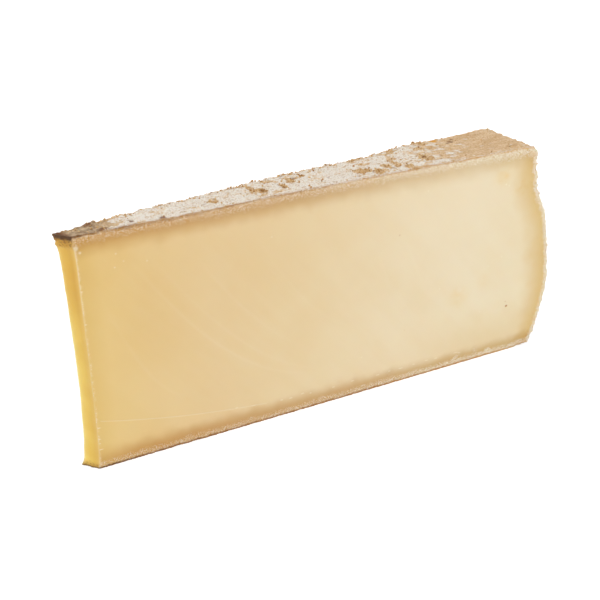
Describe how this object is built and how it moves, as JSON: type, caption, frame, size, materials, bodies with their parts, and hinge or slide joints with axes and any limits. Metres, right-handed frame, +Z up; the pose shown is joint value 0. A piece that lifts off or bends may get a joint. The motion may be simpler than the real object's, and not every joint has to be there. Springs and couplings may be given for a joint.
{
  "type": "cut wedge of hard mountain cheese",
  "caption": "Thin wedge cut from a large wheel of hard, pale yellow cheese, with its point cut off, standing upright on its lower rind.",
  "frame": {"origin": "centre of the box's foot, on the surface that the wedge stands on", "axes": "+X along the wedge's middle line from the cut tip to the heel, +Y across it from the near cut face to the far one, +Z up"},
  "size_m": [0.2586, 0.0384, 0.117],
  "materials": {
    "cheese": "satin, slightly waxy paste with a dry, floury rind"
  },
  "bodies": {
    "root": {"cheese_wedge": "cheese"}
  },
  "joints": []
}
